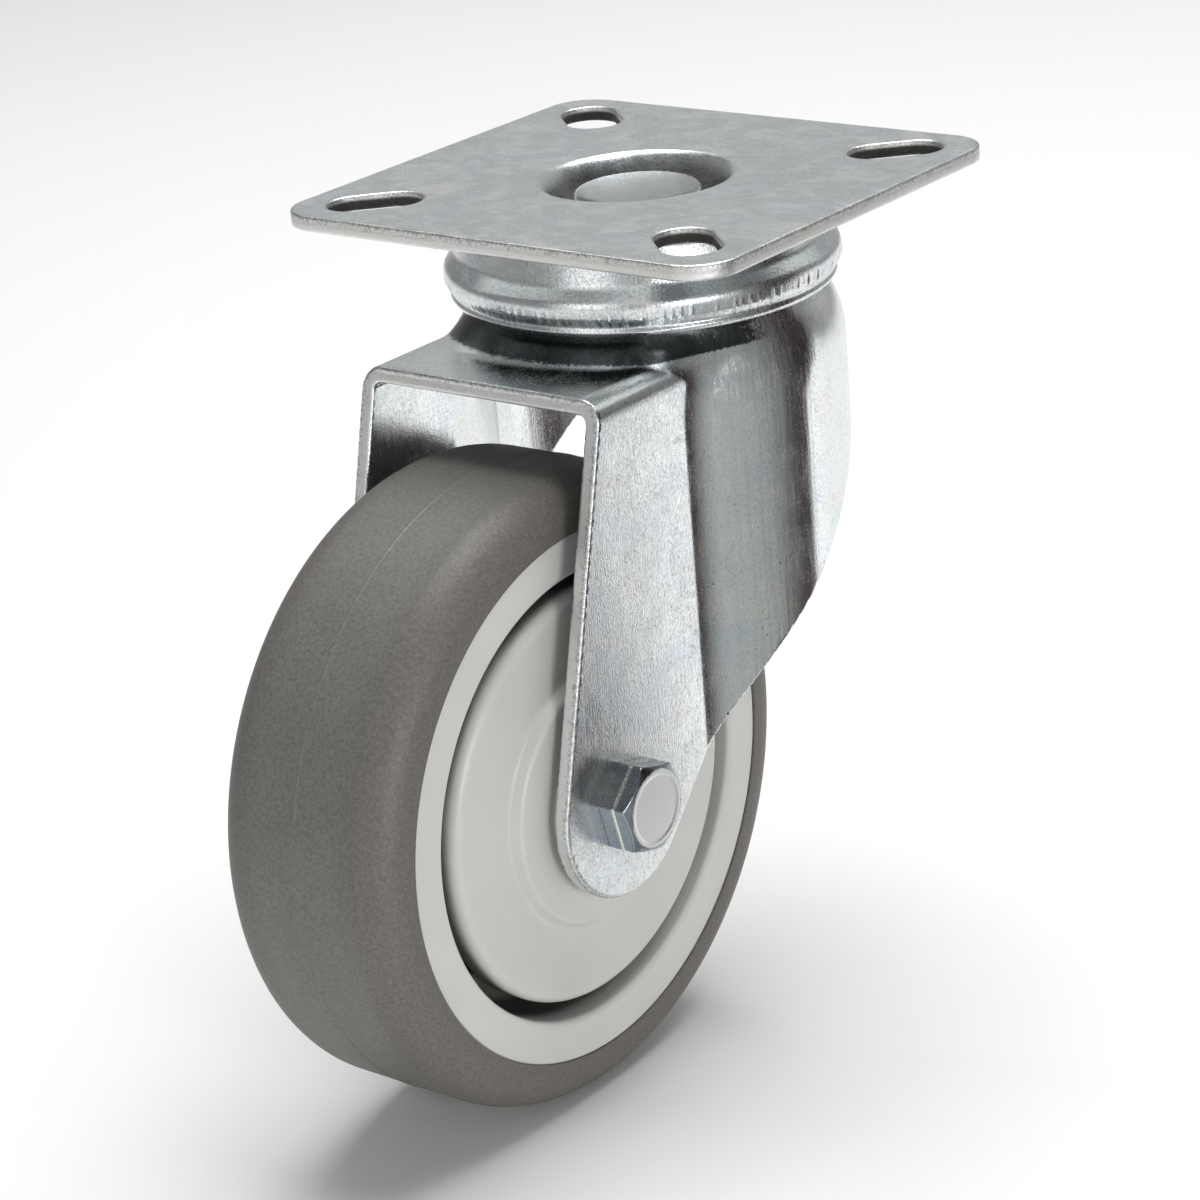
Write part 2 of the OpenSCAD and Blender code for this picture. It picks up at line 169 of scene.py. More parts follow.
def softProfile(corners, steps):
    # A closed outline of (x, y, radius) corners with each corner rounded, as points
    # and their outward normals, running anticlockwise whichever way they were given.
    points, normals = [], []
    count = len(corners)
    pairs = [(corners[i - 1], corners[i]) for i in range(count)]
    if sum(a[0] * b[1] - b[0] * a[1] for a, b in pairs) < 0:
        corners = corners[::-1]
    for i in range(count):
        here = np.array(corners[i][:2], float)
        before = np.array(corners[i - 1][:2], float) - here
        after = np.array(corners[(i + 1) % count][:2], float) - here
        before, after = before / np.linalg.norm(before), after / np.linalg.norm(after)
        half = math.acos(max(-1, min(1, float(before @ after)))) / 2
        r = corners[i][2]
        centre = here + (before + after) / np.linalg.norm(before + after) * (r / math.sin(half))
        reach = r / math.tan(half)
        start = here + before * reach - centre
        left = before[0] * after[1] - before[1] * after[0] < 0
        turn = math.pi - 2 * half
        a0 = math.atan2(start[1], start[0])
        for k in range(steps + 1):
            a = a0 + (turn if left else -turn) * k / steps
            d = np.array([math.cos(a), math.sin(a)])
            points.append(centre + r * d)
            normals.append(d if left else -d)
    return np.array(points), np.array(normals)


def turnProfile(name, corners, place, axis, turns, steps, shift=None):
    # Turns an outline of (radius, height, rounding) about the X or Z axis through place,
    # with that many turns round it and steps in each rounding; shift moves single points.
    outline, out = softProfile(corners, steps)
    a = np.arange(turns) * 2 * math.pi / turns
    r = outline[None, :, 0] + np.zeros((turns, 1))
    h = outline[None, :, 1] + np.zeros((turns, 1))
    if shift is not None:
        dr, dh = shift(a[:, None], r, h)
        r, h = r + dr, h + dh
    c, s = np.cos(a)[:, None], np.sin(a)[:, None]
    normalR, normalH = out[None, :, 0], out[None, :, 1] + 0 * c
    if axis == "X":
        p = np.stack([h, r * c, r * s], 2)
        normals = np.stack([normalH, normalR * c, normalR * s], 2)
    else:
        p = np.stack([r * c, r * s, h], 2)
        normals = np.stack([normalR * c, normalR * s, normalH], 2)
    m = len(outline)
    i, k = np.meshgrid(np.arange(turns), np.arange(m), indexing="ij")
    i2, k2 = (i + 1) % turns, (k + 1) % m
    quads = np.stack([i * m + k, i2 * m + k, i2 * m + k2, i * m + k2], 2).reshape(-1, 4)
    p = p.reshape(-1, 3) + np.array(place)
    return makeMesh(name, p, quads.tolist(), None if shift is not None else normals.reshape(-1, 3))


def mirrored(corners):
    # the same outline on the other side of the wheel
    return [(r, -h, rounding) for r, h, rounding in reversed(corners)]


class Paint:
    # A material with texture coordinates in millimetres that move with the piece.
    def __init__(self, name):
        self.mat = bpy.data.materials.new(name)
        self.mat.use_nodes = True
        self.tree = self.mat.node_tree
        self.shader = self.tree.nodes["Principled BSDF"]
        self.coords = self.tree.nodes.new("ShaderNodeTexCoord").outputs["Object"]

    def node(self, kind, **settings):
        made = self.tree.nodes.new("ShaderNode" + kind)
        for key, value in settings.items():
            setattr(made, key, value)
        return made

    def plug(self, value, socket):
        if isinstance(value, bpy.types.NodeSocket):
            self.tree.links.new(value, socket)
        else:
            socket.default_value = value

    def place(self, stretch=(1, 1, 1), turn=(0, 0, 0), move=(0, 0, 0)):
        m = self.node("Mapping")
        self.plug(self.coords, m.inputs["Vector"])
        m.inputs["Scale"].default_value = [s / mm for s in stretch]
        m.inputs["Rotation"].default_value = [math.radians(t) for t in turn]
        m.inputs["Location"].default_value = move
        return m.outputs["Vector"]

    def noise(self, size, stretch=(1, 1, 1), detail=3, rough=0.5, distort=0, turn=(0, 0, 0),
              move=(0, 0, 0)):
        n = self.node("TexNoise")
        self.plug(self.place(stretch, turn, move), n.inputs["Vector"])
        n.inputs["Scale"].default_value = 1 / size
        n.inputs["Detail"].default_value = detail
        n.inputs["Roughness"].default_value = rough
        n.inputs["Distortion"].default_value = distort
        return n.outputs["Fac"]

    def cells(self, size, move):
        v = self.node("TexVoronoi")
        self.plug(self.place(move=move), v.inputs["Vector"])
        v.inputs["Scale"].default_value = 1 / size
        return v.outputs["Distance"]

    def remap(self, value, low, high, outLow=0.0, outHigh=1.0, smooth=False):
        m = self.node("MapRange")
        if smooth:
            m.interpolation_type = "SMOOTHSTEP"
        self.plug(value, m.inputs["Value"])
        for key, v in (("From Min", low), ("From Max", high), ("To Min", outLow), ("To Max", outHigh)):
            m.inputs[key].default_value = v
        return m.outputs["Result"]

    def math(self, operation, a, b=0.0):
        m = self.node("Math", operation=operation)
        self.plug(a, m.inputs[0])
        self.plug(b, m.inputs[1])
        return m.outputs[0]

    def mix(self, amount, a, b):
        m = self.node("Mix", data_type="RGBA")
        self.plug(amount, m.inputs["Factor"])
        for value, socket in ((a, m.inputs[6]), (b, m.inputs[7])):
            self.plug(value if isinstance(value, bpy.types.NodeSocket) else (*value, 1), socket)
        return m.outputs[2]

    def bump(self, height, depth, under=None):
        # depth is in millimetres, and under is the bump that this one lies on
        b = self.node("Bump")
        self.plug(height, b.inputs["Height"])
        b.inputs["Distance"].default_value = depth * mm
        b.inputs["Strength"].default_value = 1
        if under is not None:
            self.plug(under, b.inputs["Normal"])
        return b.outputs["Normal"]

    def attribute(self, name):
        return self.node("Attribute", attribute_name=name).outputs["Fac"]

    def acrossWheel(self):
        # distance from the wheel's middle plane
        split = self.node("SeparateXYZ")
        self.plug(self.coords, split.inputs[0])
        return self.math("ABSOLUTE", split.outputs[0])

    def finish(self, color=None, rough=None, normal=None, metal=0.0, **sockets):
        for value, key in ((color, "Base Color"), (rough, "Roughness"), (normal, "Normal")):
            if value is not None:
                if key == "Base Color" and not isinstance(value, bpy.types.NodeSocket):
                    value = (*value, 1)
                self.plug(value, self.shader.inputs[key])
        self.shader.inputs["Metallic"].default_value = metal
        for key, value in sockets.items():
            self.shader.inputs[key.replace("_", " ")].default_value = value
        return self.mat


zincLook = {
    "light": (0.82, 0.845, 0.825),
    "blue": (0.74, 0.79, 0.825),
    "warm": (0.84, 0.82, 0.795),
    "dark": (0.15, 0.15, 0.145),      # pits, scratches and grit
    "roughness": (0.13, 0.26),
    "recessShade": (0.05, 0.045, 0.04),      # painted shade down in the slots
    "dustAndShade": (0.17, 0.165, 0.155),     # painted shade in the hollow of the plate
    "endHighlight": (0.86, 0.87, 0.85),       # painted highlight on the stamped end of a bolt's head
    "groove": (0.86, 0.89, 0.80),     # painted highlight on the groove round it
    # painted shade on the fork's neck under the cap
    "grease": (0.028, 0.034, 0.034),
}


def zincSteel(name, grain=(1, 1, 1), grainTurn=(0, 0, 0), look=zincLook, grit=1.0, waves=0.03, marks=1.0,
              dull=0.0, drawn=0.0, cutEdges=False, shadedNeck=False, frostedAndLit=False):
    # Bright zinc plating on pressed steel: cloudy passivation tints, drawn grain, fine
    # grit that breaks up the edges of reflections, pits and a few long scratches. The
    # last three switches add what one piece needs, from attributes of its mesh.
    p = Paint(name)
    clouds = p.noise(12, detail=2, rough=0.5, distort=0.5)
    patches = p.noise(6, detail=3, rough=0.55, distort=0.8, move=(7, 3, 1))
    color = p.mix(p.remap(clouds, 0.40, 0.64), look["light"], look["blue"])
    color = p.mix(p.remap(patches, 0.48, 0.74, 0, 0.6), color, look["warm"])
    lines = p.noise(0.35, stretch=grain, turn=grainTurn, detail=3, rough=0.65)
    fine = p.noise(0.30, detail=2, rough=0.7)
    pits = p.math("MULTIPLY", p.remap(p.cells(1.9, move=(3, 1, 5)), 0.04, 0.13, 1, 0, smooth=True),
                  p.remap(p.noise(7, move=(2, 9, 4)), 0.50, 0.60))
    scratchWarp = p.noise(22, detail=1, distort=1.2, move=(5, 2, 8))
    scratch = p.remap(p.math("ABSOLUTE", p.math("SUBTRACT", scratchWarp, 0.5)), 0.0, 0.0016, 1, 0)
    scratch = p.math("MULTIPLY", scratch, p.remap(p.noise(16, move=(1, 7, 2)), 0.56, 0.6))
    speck = p.noise(0.42, detail=3, rough=0.8, move=(9, 9, 2))
    color = p.mix(p.remap(speck, 0.48, 0.80, 0, 0.50 * grit), color, look["dark"])
    color = p.mix(p.math("MULTIPLY", pits, 0.75 * marks), color, look["dark"])
    color = p.mix(p.math("MULTIPLY", scratch, 0.45 * marks), color, look["dark"])
    rough = p.math("ADD", p.remap(lines, 0.3, 0.7, look["roughness"][0], look["roughness"][1]),
                   p.remap(patches, 0.4, 0.7, -0.03, 0.06))
    rough = p.math("ADD", rough, p.remap(speck, 0.4, 0.7, -0.04, 0.10))
    if dull:
        rough = p.math("ADD", rough, dull)
    normal = p.bump(p.noise(5.5, detail=1), waves)
    if drawn:
        # shallow upright draw lines left by the press
        upright = p.noise(2.6, stretch=(1, 1, 0.045), detail=2, rough=0.6, move=(6, 1, 2))
        normal = p.bump(p.math("MULTIPLY", upright, p.attribute("pressed")), drawn, under=normal)
    normal = p.bump(lines, 0.010 * grit, under=normal)
    normal = p.bump(fine, 0.024 * grit, under=normal)
    normal = p.bump(pits, -0.02 * marks, under=normal)
    if cutEdges:
        # punched edges: a smooth sheared band above, and a coarser torn band below it
        cut, across = p.attribute("cut"), p.attribute("across")
        torn = p.noise(0.45, detail=3, rough=0.75, move=(4, 4, 4))
        nicks = p.remap(p.math("ADD", p.math("MULTIPLY", across, 0.22), torn), 0.58, 0.74)
        nicks = p.math("MULTIPLY", nicks, cut)
        color = p.mix(p.math("MULTIPLY", cut, 0.6), color, look["warm"])
        color = p.mix(p.math("MULTIPLY", nicks, 0.6), color, look["dark"])
        rough = p.math("ADD", rough, p.math("MULTIPLY", cut, 0.18))
        normal = p.bump(p.math("MULTIPLY", torn, cut), 0.09, under=normal)
        # painted shade down the walls of the slots, darkest deep in the cut
        deep = p.remap(p.math("ADD", across, p.math("MULTIPLY", torn, 0.5)), 0.75, 0.45)
        bore = p.math("MULTIPLY", p.attribute("bore"), deep)
        color = p.mix(p.math("MULTIPLY", bore, 0.93), color, look["recessShade"])
        rough = p.math("ADD", rough, p.math("MULTIPLY", bore, 0.35))
        # painted shade down in the plate's dimple
        dustAndShade = p.math("MULTIPLY", p.attribute("hollow"), p.remap(torn, 0.3, 0.7, 0.65, 0.95))
        color = p.mix(dustAndShade, color, look["dustAndShade"])
    if frostedAndLit:
        # the stamped end of the bolt's head is matt and painted pale, a painted highlight against the shaded
        # flats, and the groove round it gets a painted highlight too
        face = p.attribute("endFace")
        color = p.mix(face, color, look["endHighlight"])
        rough = p.math("ADD", rough, p.math("MULTIPLY", face, 0.22))
        color = p.mix(p.math("MULTIPLY", p.attribute("groove"), 0.85), color, look["groove"])
    if shadedNeck:
        # painted shade on the neck under the cap, speckled at its edge
        speckle = p.noise(0.6, detail=3, rough=0.85, move=(8, 2, 6))
        grease = p.math("MULTIPLY", p.attribute("grease"), 1.2)
        speckledShade = p.remap(p.math("ADD", grease, p.math("MULTIPLY", speckle, 2.2)), 1.45, 1.95)
        color = p.mix(p.math("MULTIPLY", speckledShade, 0.95), color, look["grease"])
    return p.finish(color, rough, normal, metal=1.0)


plasticLook = {
    # painted shade in the gap between the guard and the core's rim
    "recessShade": (0.085, 0.078, 0.070),
    "dustAndShade": (0.20, 0.19, 0.17),
}


def mouldedPlastic(name, color, stain, roughness, shadeFrom=None, shadeFade=None):
    # painted shade in the gap between guard and rim: it starts the first of the last two distances from the
    # wheel's middle, in millimetres, and is full the second distance deeper
    p = Paint(name)
    cloud = p.noise(16, detail=2, distort=0.4)
    tone = p.mix(p.remap(cloud, 0.35, 0.7), color, stain)
    if shadeFrom:
        depth = p.math("ADD", p.acrossWheel(), p.math("MULTIPLY", cloud, 1.5 * mm))
        recessShade = p.remap(depth, shadeFrom * mm, (shadeFrom - shadeFade) * mm, 0, 0.9, smooth=True)
        tone = p.mix(recessShade, tone, plasticLook["recessShade"])
    dustAndShade = p.remap(p.cells(3.1, move=(2, 5, 1)), 0.03, 0.05, 1, 0)
    dustAndShade = p.math("MULTIPLY", dustAndShade, p.remap(p.noise(8, move=(3, 3, 9)), 0.58, 0.64))
    tone = p.mix(p.math("MULTIPLY", dustAndShade, 0.4), tone, plasticLook["dustAndShade"])
    skin = p.noise(0.5, detail=3, rough=0.6)
    rough = p.remap(skin, 0.3, 0.7, roughness - 0.05, roughness + 0.07)
    normal = p.bump(p.noise(7, detail=1), 0.03)
    normal = p.bump(skin, 0.006, under=normal)
    return p.finish(tone, rough, normal)


rubberLook = {
    "pale": (0.21, 0.205, 0.19),      # light specks
    "dark": (0.055, 0.054, 0.05),     # dark specks
    "roughness": 0.50,
}


def rubber(name, color, worn, side):
    # worn is the tone of its clouds, and side that of the flanks
    p = Paint(name)
    cloud = p.noise(12, detail=3, rough=0.6, distort=0.5)
    tone = p.mix(p.remap(cloud, 0.38, 0.68), color, worn)
    fromMiddle = p.math("ADD", p.acrossWheel(), p.math("MULTIPLY", cloud, 4 * mm))
    tone = p.mix(p.remap(fromMiddle, 8 * mm, 16 * mm, smooth=True), tone, side)
    speck = p.remap(p.noise(0.55, detail=3, rough=0.8), 0.40, 0.75, -0.25, 0.40)
    tone = p.mix(p.math("MAXIMUM", speck, 0.0), tone, rubberLook["pale"])
    tone = p.mix(p.math("MAXIMUM", p.math("MULTIPLY", speck, -1.6), 0.0), tone, rubberLook["dark"])
    skin = p.noise(0.4, detail=4, rough=0.65)
    rough = p.remap(skin, 0.3, 0.7, rubberLook["roughness"] - 0.06, rubberLook["roughness"] + 0.08)
    normal = p.bump(p.noise(6, detail=2), 0.05)
    normal = p.bump(skin, 0.025, under=normal)
    return p.finish(tone, rough, normal)


def machinedSteel(name, color, roughness):
    p = Paint(name)
    shaded = tuple(c * 0.86 for c in color)
    tone = p.mix(p.remap(p.noise(3), 0.4, 0.6), color, shaded)
    lines = p.noise(0.25, detail=3, rough=0.7)
    rough = p.remap(lines, 0.3, 0.7, roughness - 0.05, roughness + 0.09)
    return p.finish(tone, rough, p.bump(lines, 0.006), metal=1.0)


def cageMetal(name, color, shaded):
    p = Paint(name)
    tone = p.mix(p.remap(p.noise(2.5), 0.4, 0.6), color, shaded)
    lines = p.noise(0.3, detail=3)
    return p.finish(tone, p.remap(lines, 0.3, 0.7, 0.26, 0.38), p.bump(lines, 0.008), metal=1.0)


plateLights = {**zincLook, "light": (0.74, 0.785, 0.75), "warm": (0.79, 0.77, 0.745)}
capLights = {**zincLook, "light": (0.77, 0.795, 0.78), "blue": (0.66, 0.71, 0.75)}
# the kingpin's zinc darkened with painted shade, which keeps its head mid grey under the top light
pinShadedLook = {**zincLook, "light": (0.47, 0.49, 0.47), "warm": (0.50, 0.49, 0.47),
             "blue": (0.44, 0.47, 0.48)}
# the zinc of the bolt, nut and sleeves darkened with painted shade for the dark flats of the head
boltShadedLook = {**zincLook, "light": (0.31, 0.35, 0.375), "warm": (0.36, 0.375, 0.38),
              "blue": (0.28, 0.33, 0.375)}
plateZinc = zincSteel("plateZinc", look=plateLights, grain=(0.06, 1, 1), grainTurn=(0, 0, 12), waves=0.008,
                      marks=0.4, dull=0.07, cutEdges=True)
forkZinc = zincSteel("forkZinc", grain=(1, 1, 0.08), drawn=0.07, marks=0.8, cutEdges=True, shadedNeck=True)
capZinc = zincSteel("capZinc", look=capLights, grain=(1, 1, 0.15), grit=1.5, waves=0.015, dull=0.04)
pinZinc = zincSteel("pinZinc", look=pinShadedLook, grit=1.6, waves=0.015, marks=0.6, dull=0.04)
boltZinc = zincSteel("boltZinc", look=boltShadedLook, grit=0.6, waves=0.01, marks=0.5, frostedAndLit=True)
bearingSteel = machinedSteel("bearingSteel", (0.58, 0.59, 0.60), roughness=0.22)
greaseSteel = machinedSteel("greaseSteel", (0.42, 0.42, 0.41), roughness=0.28)
cageBrass = cageMetal("cageBrass", (0.62, 0.47, 0.22), (0.52, 0.38, 0.17))
# both plastics get painted shade deep in the wheel, where the gap between guard and rim lies
guardPlastic = mouldedPlastic("guardPlastic", (0.555, 0.56, 0.535), (0.525, 0.53, 0.508), roughness=0.34,
                              shadeFrom=15.5, shadeFade=1.8)
corePlastic = mouldedPlastic("corePlastic", (0.575, 0.58, 0.555), (0.545, 0.55, 0.528), roughness=0.42,
                             shadeFrom=14.3, shadeFade=3.0)
nylonWhite = mouldedPlastic("nylonWhite", (0.70, 0.71, 0.73), (0.62, 0.63, 0.66), roughness=0.35)
treadRubber = rubber("treadRubber", (0.142, 0.145, 0.130), (0.159, 0.157, 0.143), (0.130, 0.119, 0.108))
print("materials ready")


def finishPiece(obj, mat, body, slot, *nodes):
    # one material, the body it rides, its material slot (not used) and the CAD nodes that it replaces
    obj.data.materials.clear()
    obj.data.materials.append(mat)
    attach(obj, body)
    if nodes:
        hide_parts(*nodes)
    print("made", obj.name, len(obj.data.polygons))
    return obj


forkLook = {
    "sheet": 2.5,             # thickness of the steel
    "bend": 3.8,              # outer bend between shelf and legs
    "neck": 27.6,             # radius of the neck above the shoulder
    "neckFoot": -17.1,        # height where the neck runs into the shoulder
    "shoulderArc": 16,        # roundness of the skirt's shoulder
    "crownEdge": 2.8,
    "flareAngle": 12,         # where the flat flare meets the round skirt, in degrees
    "flareSet": 0.1,          # how far the flare stands in from the leg at their crease
    "legEnd": 14.9,           # radius of the leg's round end
    "rearSlope": 46.9,        # of the leg's rear edge, in degrees
    "shelfFront": 42,         # from the kingpin's axis to the front edge
    "shelfDrop": 21,          # from the plate's face down to the shelf
    "legOut": 22.7,           # from the middle to the outside of a leg
    "axleHole": 4.1,
    "crownHole": 8.3,
    "ballRing": 22.3,         # radius of the upper race in the crown
    "ballGroove": 3.05,       # and of its groove
    "edge": 0.45,             # rounding of the punched edges
    "margin": 1.0,            # round the box that the mesh is made in
    "cell": 0.5,
}
forkLow, forkHigh = edges("fork")
skirtR = forkHigh.x
crownZ = forkHigh.z
upperBallLow, upperBallHigh = edges("upper_balls")
upperBallZ = (upperBallLow.z + upperBallHigh.z) / 2


def forkBodyField(x, y, z):
    # the outside of the pressing as a solid: round neck and skirt, flared into a box
    v = forkLook
    ax, r = np.abs(x), np.hypot(x, y)
    arc = v["shoulderArc"]
    turn = math.acos((v["neck"] - skirtR + arc) / arc)
    shoulderZ = v["neckFoot"] - arc * math.sin(turn)
    dome = np.where(z > shoulderZ, np.hypot(np.maximum(r - skirtR + arc, 0), z - shoulderZ) - arc,
                    r - skirtR)
    neck = roundMax(r - v["neck"], z - crownZ, v["crownEdge"])
    turned = roundMin(dome, neck, 1.2)
    creaseY = -math.sqrt(skirtR ** 2 - v["legOut"] ** 2)
    a = math.radians(v["flareAngle"])
    lean = math.atan2(skirtR * math.cos(a) - v["legOut"], -skirtR * math.sin(a) - creaseY)
    flare = (ax - v["legOut"] + v["flareSet"]) * math.cos(lean) - (y - creaseY) * math.sin(lean)
    # the crease and the fillet open out towards the shelf
    turned = roundMax(turned, flare, 1.6 + 3.4 * softStep(z, -32, -19))
    box = roundMax(ax - v["legOut"], z + v["shelfDrop"], v["bend"])
    box = np.maximum(box, y)
    fillet = 1.8 + 2.4 * softStep(z, -25, -21)
    return roundMin(box, turned, fillet)


def legOutlineField(y, z):
    # the outline of the legs from the side, which also trims the shelf and the skirt
    v = forkLook
    start = np.array([-v["shelfFront"], -v["shelfDrop"] - 1])
    centre = np.array([axleY, axleZ])
    toCentre = centre - start
    reach = np.linalg.norm(toCentre)
    lean = math.atan2(toCentre[1], toCentre[0]) - math.asin(v["legEnd"] / reach)
    along = np.array([math.cos(lean), math.sin(lean)])
    frontEnd = start + math.sqrt(reach ** 2 - v["legEnd"] ** 2) * along
    a = math.radians(v["rearSlope"])
    rearEnd = centre + v["legEnd"] * np.array([math.sin(a), -math.cos(a)])
    front = np.minimum(start[0] - y, (y - start[0]) * along[1] - (z - start[1]) * along[0])
    rear = (y - rearEnd[0]) * math.sin(a) - (z - rearEnd[1]) * math.cos(a)
    base = (rearEnd - frontEnd) / np.linalg.norm(rearEnd - frontEnd)
    below = (y - rearEnd[0]) * base[1] - (z - rearEnd[1]) * base[0]
    end = np.hypot(y - axleY, z - axleZ) - v["legEnd"]
    return np.minimum(np.maximum(np.maximum(front, rear), below), end)


def forkField(x, y, z):
    v = forkLook
    half = v["sheet"] / 2
    shell = np.abs(forkBodyField(x, y, z) + half) - half
    f = roundMax(shell, legOutlineField(y, z), v["edge"])
    f = roundMax(f, v["axleHole"] - np.hypot(y - axleY, z - axleZ), 0.25)
    r = np.hypot(x, y)
    f = roundMax(f, v["crownHole"] - r, 0.3)
    return np.maximum(f, v["ballGroove"] - np.hypot(r - v["ballRing"], z - upperBallZ))


def forkExtras(x, y, z):
    # how much a point lies on a punched edge, where it is across the sheet, how much painted shade from the cap
    # falls there, and how much of the press's draw lines it shows
    half = forkLook["sheet"] / 2
    across = (forkBodyField(x, y, z) + half) / half
    cut = softStep(legOutlineField(y, z), -0.30, -0.05)
    grease = (1 - softStep(np.hypot(x, y), 31.2, 33.0)) * softStep(z, -21.02, -20.6) * softStep(-y, 4, 12)
    pressed = softStep(np.abs(x), 22.9, 25.5)
    return {"cut": cut, "across": across, "grease": grease, "pressed": pressed}


forkMargin = Vector((forkLook["margin"],) * 3)
fork = skinField("forkPressing", forkField, forkLow - forkMargin, forkHigh + forkMargin,
                 forkLook["cell"], forkExtras)
finishPiece(fork, forkZinc, "fork_body", "fork_steel", "fork")


plateLook = {
    "corner": 7,
    "slotWidth": 9,
    "slotLength": 15,         # over its round ends
    "dimple": 15.7,           # radius where the dimple starts to roll in
    "floor": 10.7,            # radius of its flat floor
    "pinHole": 6,
    "thick": 2.5,
    "edge": 0.4,
    "margin": 1.05,           # keeps the plate's flat faces between the planes of the grid
    "cell": 0.4,
}
plateLow, plateHigh = edges("top_plate")
wide, narrow = mounts["plate_bolts_wide"]["dims"], mounts["plate_bolts_narrow"]["dims"]
slotX, slotY = [(wide[k] + narrow[k]) / 4 for k in ("spacing_x_mm", "spacing_y_mm")]
floorDepth = -plateLow.z - plateLook["thick"]


def plateOutlineField(x, y):
    # the outline of the plate, and the four slots as what is left round them
    v = plateLook
    ax, ay = np.abs(x), np.abs(y)
    qx, qy = ax - plateHigh.x + v["corner"], ay - plateHigh.y + v["corner"]
    outline = np.hypot(np.maximum(qx, 0), np.maximum(qy, 0)) + np.minimum(np.maximum(qx, qy), 0)
    outline = outline - v["corner"]
    a = math.atan2(slotY, slotX)
    u = (ax - slotX) * math.cos(a) + (ay - slotY) * math.sin(a)
    w = (ay - slotY) * math.cos(a) - (ax - slotX) * math.sin(a)
    half = (v["slotLength"] - v["slotWidth"]) / 2
    slot = np.hypot(np.maximum(np.abs(u) - half, 0), w) - v["slotWidth"] / 2
    return outline, -slot


def plateSheetField(x, y, z):
    # signed place across the sheet: 0 in the middle, falling with the pressed dimple
    v = plateLook
    span = v["dimple"] - v["floor"]
    t = np.clip((v["dimple"] - np.hypot(x, y)) / span, 0, 1)
    depth = floorDepth * t * t * (3 - 2 * t)
    slope = floorDepth * 6 * t * (1 - t) / span
    return z + depth + v["thick"] / 2, np.sqrt(1 + slope ** 2)


def plateField(x, y, z):
    v = plateLook
    mid, stretch = plateSheetField(x, y, z)
    shell = (np.abs(mid) - v["thick"] / 2) / stretch
    f = roundMax(shell, np.maximum(*plateOutlineField(x, y)), v["edge"])
    return roundMax(f, v["pinHole"] - np.hypot(x, y), 0.2)


def plateExtras(x, y, z):
    # as for the fork, and how much a point lies in a slot or down in the dimple, where the painted shade goes
    mid, _ = plateSheetField(x, y, z)
    rim, bore = [softStep(d, -0.28, -0.05) for d in plateOutlineField(x, y)]
    hollow = softStep(-z, 0.3, 2.8) * (mid > 0)
    across = mid / (plateLook["thick"] / 2)
    return {"cut": np.maximum(rim, bore), "across": across, "bore": bore, "hollow": hollow}


plateMargin = Vector((plateLook["margin"],) * 3)
plate = skinField("mountingPlate", plateField, plateLow - plateMargin, plateHigh + plateMargin,
                  plateLook["cell"], plateExtras)
finishPiece(plate, plateZinc, "mounting_head", "plate_steel", "top_plate")


pinLow, pinHigh = edges("kingpin")
raceLow, raceHigh = edges("lower_race_washer")
pinLook = {
    "shank": 6,
    "rivet": 9,               # radius of the riveted end
    "edge": 1.3,              # rounding of the head
    "turns": 144,
}


def pinCorners():
    # from the middle of the head down to the riveted end and back up its side
    v = pinLook
    head, headBottom = pinHigh.x, -floorDepth
    return [(0.02, pinHigh.z, 0.01), (0.02, pinLow.z, 0.01), (v["rivet"] - 1.4, pinLow.z, 1.1),
            (v["rivet"], raceLow.z - 1.0, 0.5), (v["rivet"], raceLow.z, 0.15), (v["shank"], raceLow.z, 0.1),
            (v["shank"], headBottom, 0.1), (head - 0.2, headBottom, 0.3),
            (head, pinHigh.z - 1.4, 1.0), (head - 0.35, pinHigh.z, v["edge"])]


kingpin = turnProfile("kingpinRivet", pinCorners(), (0, 0, 0), "Z", pinLook["turns"], 8)
finishPiece(kingpin, pinZinc, "mounting_head", "plate_steel", "kingpin")

raceLook = {
    "bore": 6,
    "trackIn": 9.5,           # radii of the ball track and of its floor
    "floorIn": 11.4,
    "floorOut": 12.6,
    "trackOut": 14.5,
    "trackDepth": 0.5,
    "turns": 144,
}


def raceCorners():
    # from the bore out under the washer, and back over the ball track
    v = raceLook
    top, floor = raceHigh.z, raceHigh.z - v["trackDepth"]
    return [(v["bore"], raceLow.z, 0.2), (raceHigh.x - 0.2, raceLow.z, 0.5), (raceHigh.x, top, 0.4),
            (v["trackOut"], top, 0.2), (v["floorOut"], floor, 0.8), (v["floorIn"], floor, 0.8),
            (v["trackIn"], top, 0.2), (v["bore"], top, 0.2)]


raceWasher = turnProfile("lowerRaceWasher", raceCorners(), (0, 0, 0), "Z", raceLook["turns"], 5)
finishPiece(raceWasher, greaseSteel, "mounting_head", "race_steel", "lower_race_washer")

capLook = {
    "sheet": 1.5,
    "hole": 17.3,
    "topR": 25.3,             # inside, under the top
    "waistR": 27.7,           # of the wall above the ridge
    "shoulder": 6.4,          # height over the lip where the inside narrows
    "lipR": 29.4,
    "lipWall": 1.35,
    "wrinkle": 0.22,          # height of the crimping wrinkles
    "wrinkles": 140,
    "wrinkleWidth": 0.16,     # as a share of the space between two
    "seed": 4,
    "turns": 1260,            # steps round the cap, nine for each wrinkle
}
capLow, capHigh = edges("swivel_cap")


def crimp(a, r, h):
    # uneven upright wrinkles where the collar was rolled in under its widest part
    v = capLook
    draw = np.random.RandomState(v["seed"])
    count = v["wrinkles"]
    strength = draw.uniform(0.2, 1.0, count)
    offset = draw.uniform(-0.35, 0.35, count)
    place = a / (2 * math.pi) * count
    nearest = np.floor(place).astype(int) % count
    local = place - np.floor(place) - 0.5 - offset[nearest] * 0.5
    ridge = np.exp(-(local / v["wrinkleWidth"]) ** 2) * strength[nearest] ** 2
    band = softStep(h, capLow.z + 1.3, capLow.z + 1.8) * (1 - softStep(h, capLow.z + 3.1, capLow.z + 4.6))
    outer = softStep(r, v["lipR"] - 0.3, v["lipR"] + 0.2)
    return v["wrinkle"] * ridge * band * outer, 0 * r


